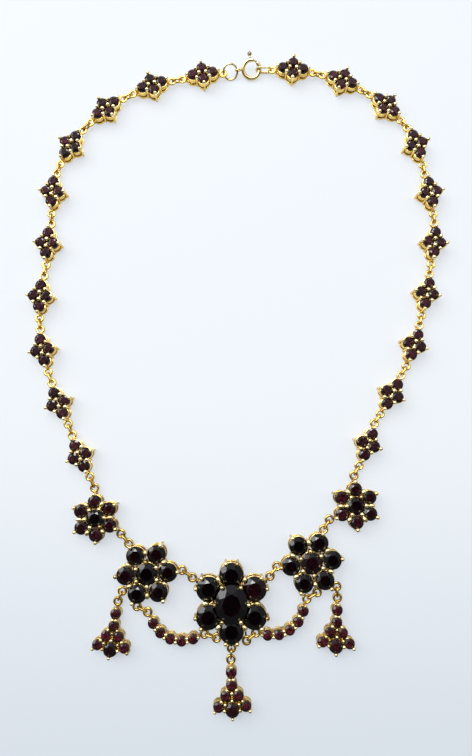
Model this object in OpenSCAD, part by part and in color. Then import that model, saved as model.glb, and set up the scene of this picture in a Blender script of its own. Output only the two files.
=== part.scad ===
// Garnet cluster necklace, fastened and laid out flat on its settings.
// Ten small clusters a side run up to a spring ring clasp. The front has five rosettes, two swags
// of stones that hang between the three widest, and three drops. Garnets stand in claw settings of
// gilt metal. Rings soldered to the settings are joined by loose oval links that stand on edge.
// X runs to the right of the front view, Y from the drops to the clasp, Z up, in millimetres.

/* [Garnets] */
// Width of a stone in a chain cluster
chain_stone_w = 3.0; // [2.9:0.05:3.05]
// Width of an outer stone of a small rosette
small_petal_w = 3.4; // [3.2:0.05:3.5]
// Width of the middle stone of a small rosette
small_middle_w = 4.5; // [4.3:0.05:4.6]
// Width of an outer stone of a medium rosette
medium_petal_w = 4.6; // [4.4:0.05:4.8]
// Width of the middle stone of a medium rosette
medium_middle_w = 5.4; // [5.2:0.05:5.6]
// Width of an outer stone of the centre rosette
large_petal_w = 6.0; // [5.8:0.05:6.1]
// Width of the oval stone
oval_w = 8.0; // [7.8:0.1:8.2]
// Length of the oval stone
oval_l = 9.3; // [9.1:0.1:9.4]
// Width of the small stones of the swags and drops
trim_stone_w = 2.5; // [2.4:0.05:2.55]
// Width of the large stone at the foot of a drop
drop_stone_w = 3.4; // [3.3:0.05:3.5]

/* [Stone spacing] */
// Between neighbouring stones of a chain cluster
chain_pitch = 3.3; // [3.25:0.05:3.4]
// From the middle of a small rosette to its outer stones
small_circle_r = 4.1; // [4.05:0.05:4.2]
// From the middle of a medium rosette to its outer stones
medium_circle_r = 5.25; // [5.2:0.05:5.35]
// From the middle of the centre rosette to its outer stones
large_circle_r = 6.6; // [6.5:0.05:6.7]
// Between neighbouring stones of a swag
swag_pitch = 2.85; // [2.8:0.05:2.95]
// Turn of the swag's curve from one stone to the next
swag_turn = 20; // [18:1:22]

/* [Heights] */
// Height of a chain cluster's and a small rosette's stones at their widest level
chain_girdle_z = 2.9; // [2.8:0.05:3]
// The same for a medium rosette
medium_girdle_z = 3.0; // [2.9:0.05:3.1]
// The same for the outer stones of the centre rosette
large_girdle_z = 3.2; // [3.2:0.05:3.3]
// The same for the oval stone, which stands over its neighbours' inner edges
oval_girdle_z = 4.4; // [4.4:0.05:4.6]
// The same for the swags and drops
trim_girdle_z = 2.4; // [2.3:0.05:2.5]
// Thickness of the rail that the posts stand on
foot_rail_h = 0.6; // [0.5:0.05:0.65]
// Thickness of the rail that carries the stones of a cluster, swag or drop
seat_rail_h = 1.25; // [1.1:0.05:1.3]
// The same in a rosette
rosette_rail_h = 0.6; // [0.5:0.05:1.3]

/* [Rings and links] */
// Middle of the wire of a soldered ring, from the ring's centre
ring_r = 0.93; // [0.9:0.01:1]
// Wire radius of a soldered ring
ring_wire_r = 0.26; // [0.22:0.01:0.28]
// Height of the rings above the surface
ring_z = 1.3; // [1.25:0.05:1.4]
// Wire radius of a loose link
link_wire_r = 0.25; // [0.2:0.01:0.26]
// From a ring's centre to the end wire of the link in it
link_pull = 0.36; // [0.34:0.01:0.4]
// Between the centres of two linked rings on the left side
left_gap = 3.1; // [3:0.05:3.2]
// Between the centres of two linked rings on the right side
right_gap = 2.9; // [2.85:0.05:3]

/* [Clasp] */
// Middle of the spring ring's tube, from the ring's centre
clasp_r = 2.375; // [2.3:0.025:2.45]
// Radius of the spring ring's tube
clasp_tube_r = 0.55; // [0.52:0.01:0.58]
// Radius of the bolt that slides in the tube
bolt_wire_r = 0.27; // [0.24:0.01:0.28]
// Lean of the spring ring, far side up
clasp_lean = 25; // [20:1:30]
// Middle of the jump ring's wire, from the ring's centre
jump_r = 2.0; // [1.95:0.01:2.05]
// Wire radius of the jump ring
jump_wire_r = 0.22; // [0.2:0.01:0.23]
// Lean of the jump ring, far side up
jump_lean = 40; // [39:1:42]

/* [Hidden] */
// Moves the whole necklace so that its box is centred on the origin
origin_shift = [-0.6, -5.4];

gilt = [0.86, 0.66, 0.28];
garnet = [0.20, 0.02, 0.05];

// Cut of the stones, as parts of their width: depth below and above the girdle, and width of the table
pavilion = 0.43;
crown = 0.12;
table = 0.57;
belt = 0.06;           // half the girdle's thickness

lip = 0.13;            // metal outside a stone's width, seen from above
seat_drop = 0.4;       // from the girdle down to the seat rail
foot_margin = 0.5;     // metal inside a stone's width on the foot rail
air = 0.06;            // gap between stone and metal
web_r = 0.42;          // web that joins two neighbouring seats
web_reach = 0.8;       // widest gap between stones that a web crosses
pad_lip = 0.2;         // metal round the post of an upright claw, on the rails
lean_in = 0.2;         // how far a claw leans in over the stone
tip_reach = 0.12;      // how far the head of an outer claw stands outside its stone
post_over = 0.2;       // straight part of a post over the girdle
lean_from = 0.1;       // height over the girdle where the lean starts
lean_wire = 0.95;      // thickness of the leaning part, as a part of the post's

// Claws as [post radius, head radius, rise of the head's middle over the girdle]
chain_claw = [0.33, 0.42, 0.42];
chain_tip = [0.30, 0.39, 0.50];
rosette_claw = [0.36, 0.48, 0.45];
rosette_tip = [0.32, 0.42, 0.55];
inner_claw = [0.35, 0.46, 0.55];
oval_claw = [0.30, 0.42, 0.50];
trim_claw = [0.25, 0.36, 0.38];
trim_tip = [0.25, 0.33, 0.42];
grain = [0.33, 0.43, 0.38];
trim_grain = [0.28, 0.35, 0.38];

cluster_reach = 5.9;
small_reach = 7.5;
medium_reach = 8.7;
large_reach = 11.4;
trim_reach = 2.8;
swag_reach = 2.9;
swag_end_turn = 38;    // how far a swag's end ring is turned up from the swag's own heading
lug_r = 0.38;
lug_reach = 0.3;       // from an outer stone of the centre rosette to its lug
bar_r = 0.28;
drop_gap = 2.65;
link_half_h = 0.675;   // from the middle of a loose link to its long wires

// Front of each side, as headings in degrees away from the centre rosette: its ring, the link,
// the medium rosette's near and far rings, the link, the small rosette's near and far rings.
// The near rings are given as the heading that points back.
left_front = [150, 145, 4, 125, 130, -32, 96];
right_front = [32, 53, 187, 67, 58, 208, 90];

// Chain from the small rosette to the clasp, as headings in degrees: [link, cluster]
left_chain = [
    [115, 115], [113, 114], [111, 103], [97, 87], [82, 86],
    [92, 86], [72, 60], [51, 39], [29, 20], [11, 9]
];
right_chain = [
    [61, 68], [57, 60], [59, 70], [75, 77], [76, 83],
    [92, 99], [97, 109], [126, 137], [149, 157], [165, 176]
];
chain_count = len(left_chain);

// Turn of each rosette's first outer stone
centre_turn = 30;
medium_left_turn = 4;
medium_right_turn = 8;
small_left_turn = 34;
small_right_turn = 31;

// Rings of the front as [heading, distance] from the rosette's middle
centre_drop_ring = [270, 11.0];
centre_left_swag_ring = [247, 9.4];
centre_right_swag_ring = [292, 10.0];
left_drop_ring = [215, 7.6];
left_swag_ring = [253, 8.4];
right_drop_ring = [-43, 8.7];
right_swag_ring = [-79, 7.45];

// Swags as [middle stone's place, heading there], and drops as [link's heading, drop's heading]
left_swag_place = [-16.35, -64.7];
left_swag_heading = -20;
right_swag_place = [13.1, -62.7];
right_swag_heading = 32;
left_drop_headings = [247, 263];
centre_drop_headings = [267, 272];
right_drop_headings = [272, 266];

// Stone places of a drop from its first stone, as [along, across, width]
drop_rows = [
    [0, 0, trim_stone_w], [2.85, 0, trim_stone_w],
    [5.25, 1.5, trim_stone_w], [5.25, -1.5, trim_stone_w],
    [7.65, 3.3, trim_stone_w], [7.65, -3.3, trim_stone_w],
    [8.45, 0, drop_stone_w]
];

// Gap from a drop's stones to its four upright claws, and turn of its outermost claws
upper_grain_gap = 0.42;
lower_grain_gap = 0.52;
side_grain_gap = 0.5;
drop_tip_turn = 45;

// Clasp places along the way from the left end ring to the right end ring
jump_at = 2.15;
jump_across = 0.3;
jump_z = 1.53;
eyelet_at = 4.4;
eyelet_r = 0.85;
eyelet_wire_r = 0.2;
clasp_at = 8.25;
clasp_across = 0.6;
clasp_z = 1.56;
catch_from = clasp_at + 1.45;
catch_pull = 0.33;
catch_half_h = 1.02;
catch_across = 0.45;
catch_z = 1.38;

// Bolt and tube angles round the spring ring, anticlockwise seen from above
gap_from = 44;
gap_to = 72;
bore_to = 185;
socket_from = 25;
bolt_from = 34;
bolt_to = 140;
stalk_at = 94;
slot_to = 135;
bolt_play = 0.07;
stalk_r = 0.15;
slot_w = 0.4;
knob_at = 3.95;
knob_r = 0.62;
knob_neck_r = 0.34;
knob_neck_l = 0.95;

// Plan functions
function way(a) = [cos(a), sin(a)];
function unit(v) = v / norm(v);
function flat(s) = [s.x, s.y];
function turned(v, a) = [v.x * cos(a) - v.y * sin(a), v.x * sin(a) + v.y * cos(a)];
function placed(v, at, a) = at + turned(v, a);
function heading(v) = atan2(v.y, v.x);
function at_height(p, z) = [p.x, p.y, z];

// Place that clears two stones [x, y, radius] alike, left (1) or right (-1) of the way from a to b
function nook(a, b, side, clear) =
    let (d = flat(b) - flat(a), u = unit(d), ra = a[2] + clear, rb = b[2] + clear)
    let (along = (d * d + ra * ra - rb * rb) / (2 * norm(d)))
    flat(a) + along * u + side * sqrt(ra * ra - along * along) * [-u.y, u.x];

// Claws as [foot, head, post radius, head radius, rise]
function nook_claw(a, b, side, kind) =
    let (foot = nook(a, b, side, kind[0] + air), mid = (flat(a) + flat(b)) / 2)
    [foot, foot - lean_in * unit(foot - mid), kind[0], kind[1], kind[2]];
function tip_claw(s, a, kind) =
    let (foot = flat(s) + (s[2] + kind[0] + air) * way(a), head = flat(s) + (s[2] + tip_reach) * way(a))
    [foot, head, kind[0], kind[1], kind[2]];
function upright_claw(p, kind) = [p, p, kind[0], kind[1], kind[2]];
function leaning_claw(p, to, kind) = [p, p - lean_in * unit(p - to), kind[0], kind[1], kind[2]];

// Chain cluster, along X
cluster_stones = [
    for (a = [0, 180]) at_height(chain_pitch * sqrt(3) / 2 * way(a), chain_stone_w / 2),
    for (a = [90, 270]) at_height(chain_pitch / 2 * way(a), chain_stone_w / 2)
];
cluster_claws = [
    for (j = [2, 3]) nook_claw(cluster_stones[0], cluster_stones[j], 2 * j - 5, chain_claw),
    for (j = [2, 3]) nook_claw(cluster_stones[1], cluster_stones[j], 5 - 2 * j, chain_claw),
    for (i = [0, 1]) tip_claw(cluster_stones[i], 180 * i, chain_tip),
    for (i = [0, 1]) tip_claw(cluster_stones[i + 2], 90 + 180 * i, chain_tip),
    for (a = [0, 180]) upright_claw(chain_pitch / sqrt(3) / 2 * way(a), grain)
];

// Rosette: six outer stones, then the middle one if it has a round one
function petals(circle_r, petal_w, turn) = [
    for (k = [0:5]) at_height(circle_r * way(turn + 60 * k), petal_w / 2)
];
function rosette_stones(circle_r, petal_w, middle_w, turn) =
    concat(petals(circle_r, petal_w, turn), [[0, 0, middle_w / 2]]);
function notch_claws(p, kind) = [for (k = [0:5]) nook_claw(p[k], p[(k + 1) % 6], -1, kind)];
function rosette_claws(circle_r, petal_w, middle_w, turn) =
    let (p = petals(circle_r, petal_w, turn), inner = middle_w / 2 + inner_claw[0] + air)
    concat(
        notch_claws(p, rosette_claw),
        [for (k = [0:5]) tip_claw(p[k], turn + 60 * k, rosette_tip)],
        [for (k = [0:5]) leaning_claw(inner * way(turn + 30 + 60 * k), [0, 0], inner_claw)]
    );

// Swag along X, curving up at both ends, middle stone at the origin
swag_r = swag_pitch / 2 / sin(swag_turn / 2);
function on_swag(k) = swag_r * [sin(swag_turn * k), 1 - cos(swag_turn * k)];
swag_stones = [for (k = [-2:2]) at_height(on_swag(k), trim_stone_w / 2)];
function swag_end(side) = side > 0 ? swag_end_turn : 180 - swag_end_turn;
function swag_ring(side) = on_swag(2 * side) + swag_reach * way(swag_end(side));
swag_claws = concat(
    [for (k = [0:3], side = [-1, 1]) nook_claw(swag_stones[k], swag_stones[k + 1], side, trim_claw)],
    [for (side = [1, -1]) tip_claw(swag_stones[2 + 2 * side], swag_end(side), trim_tip)]
);

// Drop along X from its first stone
drop_stones = [for (s = drop_rows) [s.x, s.y, s[2] / 2]];
drop_claws = concat(
    [for (side = [-1, 1]) nook_claw(drop_stones[0], drop_stones[1], side, trim_claw)],
    [for (k = [0, 1]) nook_claw(drop_stones[1], drop_stones[2 + k], 1 - 2 * k, trim_claw)],
    [for (k = [0, 1]) nook_claw(drop_stones[2 + k], drop_stones[4 + k], 1 - 2 * k, trim_claw)],
    [for (k = [0, 1]) nook_claw(drop_stones[4 + k], drop_stones[6], 1 - 2 * k, trim_claw)],
    [for (k = [0, 1]) tip_claw(drop_stones[4 + k], (1 - 2 * k) * drop_tip_turn, trim_tip)],
    [tip_claw(drop_stones[6], 0, trim_tip), tip_claw(drop_stones[0], 180, trim_tip)],
    [upright_claw(nook(drop_stones[2], drop_stones[3], -1, upper_grain_gap), trim_grain)],
    [upright_claw(nook(drop_stones[2], drop_stones[3], 1, lower_grain_gap), trim_grain)],
    [for (k = [0, 1])
        upright_claw(nook(drop_stones[2 + k], drop_stones[4 + k], 2 * k - 1, side_grain_gap), trim_grain)]
);

// Layout of the whole necklace
centre_at = [-1.3, -56.1] + origin_shift;
function side_front(left) = left ? left_front : right_front;
function side_chain(left) = left ? left_chain : right_chain;
function side_gap(left) = left ? left_gap : right_gap;
function centre_ring(left) = centre_at + large_reach * way(side_front(left)[0]);
function medium_near(left) = centre_ring(left) + side_gap(left) * way(side_front(left)[1]);
function medium_at(left) =
    medium_near(left) - medium_reach * way(side_front(left)[2]);
function medium_far(left) = medium_at(left) + medium_reach * way(side_front(left)[3]);
function small_near(left) = medium_far(left) + side_gap(left) * way(side_front(left)[4]);
function small_at(left) = small_near(left) - small_reach * way(side_front(left)[5]);
function small_far(left) = small_at(left) + small_reach * way(side_front(left)[6]);
function cluster_far(left, i) =
    i == 0 ? small_far(left) : cluster_at(left, i) + cluster_reach * way(side_chain(left)[i - 1][1]);
function cluster_near(left, i) =
    cluster_far(left, i - 1) + side_gap(left) * way(side_chain(left)[i - 1][0]);
function cluster_at(left, i) = cluster_near(left, i) + cluster_reach * way(side_chain(left)[i - 1][1]);
function ring_from(at, ring) = at + ring[1] * way(ring[0]);

left_swag_at = left_swag_place + origin_shift;
right_swag_at = right_swag_place + origin_shift;
function drop_ring(from, headings) = from + drop_gap * way(headings[0]);
function drop_at(from, headings) = drop_ring(from, headings) + trim_reach * way(headings[1]);
left_drop_from = ring_from(medium_at(true), left_drop_ring);
right_drop_from = ring_from(medium_at(false), right_drop_ring);
centre_drop_from = ring_from(centre_at, centre_drop_ring);

clasp_start = cluster_far(true, chain_count);
clasp_end = cluster_far(false, chain_count);
clasp_heading = heading(clasp_end - clasp_start);

cluster_nodes = [
    for (side = ["left", "right"], i = [1:chain_count]) str("link_", side, "_", i)
];

// Straight round bar between two points
module rod(p, q, r) {
    v = q - p;
    translate(p)
        rotate([0, acos(v.z / norm(v)), atan2(v.y, v.x)])
            cylinder(h = norm(v), r = r, $fn = 24);
}

// Round wire bent to part of a circle
module wire_arc(r, wire_r, from, to) {
    rotate([0, 0, from])
        rotate_extrude(angle = to - from, $fn = 64)
            translate([r, 0])
                circle(wire_r, $fn = 24);
}

module wire_ring(r, wire_r) {
    rotate_extrude($fn = 64)
        translate([r, 0])
            circle(wire_r, $fn = 24);
}

// Oval wire link that stands on edge, end wires at x = 0 and x = length
module upright_link(length, half_h, wire_r) {
    straight = length - 2 * half_h;
    rotate([90, 0, 0]) {
        translate([half_h, 0, 0])
            wire_arc(half_h, wire_r, 90, 270);
        translate([length - half_h, 0, 0])
            wire_arc(half_h, wire_r, -90, 90);
        for (side = [-1, 1])
            translate([half_h, side * half_h, 0])
                rotate([0, 90, 0])
                    cylinder(h = straight, r = wire_r, $fn = 24);
    }
}

// Loose link between two ring centres
module loose_link(a, b) {
    color(gilt)
        translate(at_height(a, ring_z))
            rotate([0, 0, heading(b - a)])
                translate([link_pull, 0, 0])
                    upright_link(norm(b - a) - 2 * link_pull, link_half_h, link_wire_r);
}

// Round stone with its girdle at height z
module gem(at, r, z) {
    color(garnet)
        translate(at_height(at, z))
            rotate_extrude($fn = 48)
                polygon([
                    [0, -belt - 2 * pavilion * r], [r, -belt], [r, belt],
                    [table * r, belt + 2 * crown * r], [0, belt + 2 * crown * r]
                ]);
}

module gems(stones, z) {
    for (s = stones)
        gem(flat(s), s[2], z);
}

// Gap between two stones, and the middle of it
function stone_gap(a, b) = norm(flat(b) - flat(a)) - a[2] - b[2];
function gap_middle(a, b) = flat(a) + (a[2] + stone_gap(a, b) / 2) * unit(flat(b) - flat(a));

// Rail that follows the stones, with a hole of the stone's radius less margin under each
module rail(stones, claw_list, z, h, margin) {
    webs = [
        for (i = [0:len(stones) - 2], j = [i + 1:len(stones) - 1])
            if (stone_gap(stones[i], stones[j]) < web_reach) gap_middle(stones[i], stones[j])
    ];
    translate([0, 0, z])
        linear_extrude(h)
            difference() {
                union() {
                    for (s = stones)
                        translate(flat(s))
                            circle(s[2] + lip, $fn = 48);
                    for (web = webs)
                        translate(web)
                            circle(web_r, $fn = 24);
                    for (c = claw_list)
                        if (c[0] == c[1])
                            translate(c[0])
                                circle(c[2] + pad_lip, $fn = 24);
                }
                for (s = stones)
                    translate(flat(s))
                        circle(s[2] - margin, $fn = 48);
            }
}

// Post from the surface up to the girdle, a short lean and a round head over the stone's edge
module claw(c, girdle_z) {
    head_z = girdle_z + c[4];
    color(gilt) {
        translate(c[0])
            cylinder(h = girdle_z + post_over, r = c[2], $fn = 24);
        rod(at_height(c[0], girdle_z + lean_from), at_height(c[1], head_z), lean_wire * c[2]);
        translate(at_height(c[1], head_z))
            sphere(c[3], $fn = 32);
    }
}

module claws(list, girdle_z) {
    for (c = list)
        claw(c, girdle_z);
}

// Both rails and all claws of a setting
module setting(stones, claw_list, girdle_z, rail_h = seat_rail_h) {
    seat_margin = (seat_drop - belt) / 2 / pavilion - air;
    color(gilt) {
        rail(stones, claw_list, 0, foot_rail_h, foot_margin);
        rail(stones, claw_list, girdle_z - seat_drop - rail_h, rail_h, seat_margin);
    }
    claws(claw_list, girdle_z);
}

// Flat ring soldered by a short bar to the post at root
module soldered_ring(at, root) {
    near = at + ring_r * unit(root - at);
    color(gilt) {
        translate(at_height(at, ring_z))
            wire_ring(ring_r, ring_wire_r);
        rod(at_height(root, ring_z), at_height(near, ring_z), bar_r);
    }
}

module chain_cluster(left, i) {
    tip_foot = cluster_claws[4][0];
    translate(cluster_at(left, i))
        rotate([0, 0, side_chain(left)[i - 1][1]]) {
            setting(cluster_stones, cluster_claws, chain_girdle_z);
            soldered_ring([cluster_reach, 0], tip_foot);
            soldered_ring([-cluster_reach, 0], -tip_foot);
        }
}

module chain_garnets(left) {
    for (i = [1:chain_count])
        translate(cluster_at(left, i))
            rotate([0, 0, side_chain(left)[i - 1][1]])
                gems(cluster_stones, chain_girdle_z);
}

// Foot of the outer claw of the outer stone k, and of the claw in the notch after it
function petal_foot(circle_r, petal_w, turn, k) =
    (circle_r + petal_w / 2 + rosette_tip[0] + air) * way(turn + 60 * k);
function notch_foot(circle_r, petal_w, turn, k) =
    notch_claws(petals(circle_r, petal_w, turn), rosette_claw)[k][0];

module rosette_small(left) {
    turn = left ? small_left_turn : small_right_turn;
    near_stone = left ? 5 : 3;
    near = small_near(left) - small_at(left);
    far = small_far(left) - small_at(left);
    translate(small_at(left)) {
        setting(
            rosette_stones(small_circle_r, small_petal_w, small_middle_w, turn),
            rosette_claws(small_circle_r, small_petal_w, small_middle_w, turn),
            chain_girdle_z,
            rosette_rail_h
        );
        soldered_ring(near, petal_foot(small_circle_r, small_petal_w, turn, near_stone));
        soldered_ring(far, petal_foot(small_circle_r, small_petal_w, turn, 1));
    }
}

module rosette_medium(left) {
    turn = left ? medium_left_turn : medium_right_turn;
    near = medium_near(left) - medium_at(left);
    far = medium_far(left) - medium_at(left);
    near_stone = left ? 0 : 3;
    far_stone = left ? 2 : 1;
    translate(medium_at(left)) {
        setting(
            rosette_stones(medium_circle_r, medium_petal_w, medium_middle_w, turn),
            rosette_claws(medium_circle_r, medium_petal_w, medium_middle_w, turn),
            medium_girdle_z,
            rosette_rail_h
        );
        soldered_ring(near, petal_foot(medium_circle_r, medium_petal_w, turn, near_stone));
        soldered_ring(far, petal_foot(medium_circle_r, medium_petal_w, turn, far_stone));
        if (left) {
            soldered_ring(ring_from([0, 0], left_drop_ring),
                notch_foot(medium_circle_r, medium_petal_w, turn, 3));
            soldered_ring(ring_from([0, 0], left_swag_ring),
                petal_foot(medium_circle_r, medium_petal_w, turn, 4));
        } else {
            soldered_ring(ring_from([0, 0], right_drop_ring),
                petal_foot(medium_circle_r, medium_petal_w, turn, 5));
            soldered_ring(ring_from([0, 0], right_swag_ring),
                notch_foot(medium_circle_r, medium_petal_w, turn, 4));
        }
    }
}

module rosette_garnets(at, circle_r, petal_w, middle_w, turn, girdle_z) {
    translate(at)
        gems(rosette_stones(circle_r, petal_w, middle_w, turn), girdle_z);
}

// Centre rosette: six outer stones in the rails, a collar inside them and tall claws for the oval.
// Struts join the collar, the tall claws and the rails between the outer stones.
large_petals = petals(large_circle_r, large_petal_w, centre_turn);
collar_r = 3.62;
collar_w = 0.5;
strut_r = 0.22;
strut_end = large_circle_r * cos(30);
oval_side_claw = 4.4;
oval_end_claw = 4.83;
oval_claws = [
    for (k = [0:5])
        leaning_claw((k % 3 == 0 ? oval_side_claw : oval_end_claw) * way(60 * k), [0, 0], oval_claw)
];
large_tip_spread = 27;
large_tips = [
    for (k = [0:5], side = [-1, 1])
        tip_claw(large_petals[k], centre_turn + 60 * k + side * large_tip_spread, rosette_tip)
];
function lug_foot(k) = (large_circle_r + large_petal_w / 2 + lug_reach) * way(centre_turn + 60 * k);

module centre_lug(k) {
    color(gilt)
        translate(lug_foot(k))
            cylinder(h = large_girdle_z - seat_drop, r = lug_r, $fn = 24);
}

module collar(z, h) {
    color(gilt)
        translate([0, 0, z]) {
            difference() {
                cylinder(h = h, r = collar_r + collar_w / 2, $fn = 64);
                translate([0, 0, -1])
                    cylinder(h = h + 2, r = collar_r - collar_w / 2, $fn = 64);
            }
            for (a = [0:60:300])
                rod(at_height(collar_r * way(a), h / 2), at_height(strut_end * way(a), h / 2), strut_r);
        }
}

module rosette_centre() {
    translate(centre_at) {
        setting(
            large_petals,
            concat(notch_claws(large_petals, rosette_claw), large_tips),
            large_girdle_z,
            rosette_rail_h
        );
        collar(0, foot_rail_h);
        collar(large_girdle_z - seat_drop - rosette_rail_h, rosette_rail_h);
        claws(oval_claws, oval_girdle_z);
        for (k = [0, 2, 4])
            centre_lug(k);
        soldered_ring(centre_ring(false) - centre_at, lug_foot(0));
        soldered_ring(centre_ring(true) - centre_at, lug_foot(2));
        soldered_ring(ring_from([0, 0], centre_drop_ring), lug_foot(4));
        soldered_ring(ring_from([0, 0], centre_left_swag_ring),
            notch_claws(large_petals, rosette_claw)[3][0]);
        soldered_ring(ring_from([0, 0], centre_right_swag_ring),
            notch_claws(large_petals, rosette_claw)[4][0]);
    }
}

// Oval stone, made of flat facets from a few levels [size, height]
module garnet_oval() {
    sides = 32;
    depth = pavilion * oval_w;
    rise = crown * oval_w;
    levels = [[0.02, -belt - depth], [1, -belt], [1, belt], [table, belt + rise]];
    points = [
        for (level = levels, k = [0:sides - 1])
            let (a = 360 * k / sides)
                [level[0] * oval_w / 2 * cos(a), level[0] * oval_l / 2 * sin(a), level[1]]
    ];
    last = (len(levels) - 1) * sides;
    faces = concat(
        [[for (k = [0:sides - 1]) k]],
        [for (low = [0:sides:last - 1], k = [0:sides - 1])
            let (next = (k + 1) % sides, high = low + sides)
                [low + k, high + k, high + next, low + next]],
        [[for (k = [sides - 1:-1:0]) last + k]]
    );
    color(garnet)
        translate(at_height(centre_at, oval_girdle_z))
            polyhedron(points, faces);
}

module swag(at, turn) {
    translate(at)
        rotate([0, 0, turn]) {
            setting(swag_stones, swag_claws, trim_girdle_z);
            soldered_ring(swag_ring(1), swag_claws[8][0]);
            soldered_ring(swag_ring(-1), swag_claws[9][0]);
        }
}

module drop(from, headings) {
    translate(drop_at(from, headings))
        rotate([0, 0, headings[1]]) {
            setting(drop_stones, drop_claws, trim_girdle_z);
            soldered_ring([-trim_reach, 0], drop_claws[11][0]);
        }
}

module loose_links(left) {
    loose_link(centre_ring(left), medium_near(left));
    loose_link(medium_far(left), small_near(left));
    for (i = [1:chain_count])
        loose_link(cluster_far(left, i - 1), cluster_near(left, i));
}

module loose_links_front() {
    function left_end(side) = placed(swag_ring(side), left_swag_at, left_swag_heading);
    function right_end(side) = placed(swag_ring(side), right_swag_at, right_swag_heading);
    loose_link(ring_from(medium_at(true), left_swag_ring), left_end(-1));
    loose_link(left_end(1), ring_from(centre_at, centre_left_swag_ring));
    loose_link(ring_from(centre_at, centre_right_swag_ring), right_end(-1));
    loose_link(right_end(1), ring_from(medium_at(false), right_swag_ring));
    loose_link(left_drop_from, drop_ring(left_drop_from, left_drop_headings));
    loose_link(centre_drop_from, drop_ring(centre_drop_from, centre_drop_headings));
    loose_link(right_drop_from, drop_ring(right_drop_from, right_drop_headings));
}

// Puts a clasp piece along and across the way between the two end rings, its far side leaning up
module on_clasp_line(along, across, z, lean) {
    translate(at_height(placed([along, across], clasp_start, clasp_heading), z))
        rotate([0, 0, clasp_heading])
            rotate([lean, 0, 0])
                children();
}

module jump_ring() {
    color(gilt)
        on_clasp_line(jump_at, jump_across, jump_z, jump_lean)
            wire_ring(jump_r, jump_wire_r);
}

// Open tube with a bore for the bolt, a slot for its stalk and an eyelet for the jump ring
module clasp_ring() {
    eyelet_x = eyelet_at - clasp_at;
    color(gilt)
        on_clasp_line(clasp_at, clasp_across, clasp_z, clasp_lean) {
            difference() {
                wire_arc(clasp_r, clasp_tube_r, gap_to, 360 + gap_from);
                wire_arc(clasp_r, bolt_wire_r + bolt_play, gap_to - 5, bore_to);
                wire_arc(clasp_r, bolt_wire_r + bolt_play, socket_from, gap_from + 5);
                rotate([0, 0, gap_to - 5])
                    rotate_extrude(angle = slot_to - gap_to + 5, $fn = 64)
                        translate([clasp_r, -slot_w / 2])
                            square([clasp_tube_r + 1, slot_w]);
            }
            translate([eyelet_x, 0, 0])
                rotate([90, 0, 0])
                    wire_ring(eyelet_r, eyelet_wire_r);
        }
}

module clasp_bolt() {
    outward = at_height(way(stalk_at), 0);
    color(gilt)
        on_clasp_line(clasp_at, clasp_across, clasp_z, clasp_lean) {
            wire_arc(clasp_r, bolt_wire_r, bolt_from, bolt_to);
            rod(clasp_r * outward, knob_at * outward, stalk_r);
            rod((knob_at - knob_neck_l) * outward, knob_at * outward, knob_neck_r);
            translate(knob_at * outward)
                sphere(knob_r, $fn = 32);
        }
}

module catch_link() {
    from = placed([catch_from, catch_across], clasp_start, clasp_heading);
    way_out = clasp_end - from;
    color(gilt)
        translate(at_height(from, catch_z))
            rotate([0, 0, heading(way_out)])
                upright_link(norm(way_out) - catch_pull, catch_half_h, link_wire_r);
}

for (i = [1:chain_count]) {
    chain_cluster(true, i);
    chain_cluster(false, i);
}
rosette_small(true);  // rosette_small_left
rosette_small(false);  // rosette_small_right
rosette_medium(true);  // rosette_medium_left
rosette_medium(false);  // rosette_medium_right
rosette_centre();
swag(left_swag_at, left_swag_heading);  // swag_left
swag(right_swag_at, right_swag_heading);  // swag_right
drop(left_drop_from, left_drop_headings);  // drop_left
drop(centre_drop_from, centre_drop_headings);  // drop_centre
drop(right_drop_from, right_drop_headings);  // drop_right
jump_ring();
clasp_ring();
clasp_bolt();
catch_link();
loose_links(true);  // loose_links_left
loose_links(false);  // loose_links_right
loose_links_front();
chain_garnets(true);  // garnets_chain_left
chain_garnets(false);  // garnets_chain_right
rosette_garnets(small_at(true), small_circle_r, small_petal_w, small_middle_w, small_left_turn,  // garnets_small_left
        chain_girdle_z);
rosette_garnets(small_at(false), small_circle_r, small_petal_w, small_middle_w, small_right_turn,  // garnets_small_right
        chain_girdle_z);
rosette_garnets(medium_at(true), medium_circle_r, medium_petal_w, medium_middle_w, medium_left_turn,  // garnets_medium_left
        medium_girdle_z);
rosette_garnets(medium_at(false), medium_circle_r, medium_petal_w, medium_middle_w, medium_right_turn,  // garnets_medium_right
        medium_girdle_z);
translate(centre_at) gems(large_petals, large_girdle_z);  // garnets_centre
garnet_oval();
translate(left_swag_at) rotate([0, 0, left_swag_heading]) gems(swag_stones, trim_girdle_z);  // garnets_swag_left
translate(right_swag_at) rotate([0, 0, right_swag_heading]) gems(swag_stones, trim_girdle_z);  // garnets_swag_right
translate(drop_at(left_drop_from, left_drop_headings)) rotate([0, 0, left_drop_headings[1]])  // garnets_drop_left
        gems(drop_stones, trim_girdle_z);
translate(drop_at(centre_drop_from, centre_drop_headings)) rotate([0, 0, centre_drop_headings[1]])  // garnets_drop_centre
        gems(drop_stones, trim_girdle_z);
translate(drop_at(right_drop_from, right_drop_headings)) rotate([0, 0, right_drop_headings[1]])  // garnets_drop_right
        gems(drop_stones, trim_girdle_z);
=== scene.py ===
# Garnet cluster necklace, laid out flat: claw settings, stones, rings, links and clasp.
# Lengths are in millimetres until a piece is made, and places in plan are complex numbers, x + 1j * y.
import cmath
import math
import random
from collections import namedtuple

import bpy
from mathutils import Matrix, Vector


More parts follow.
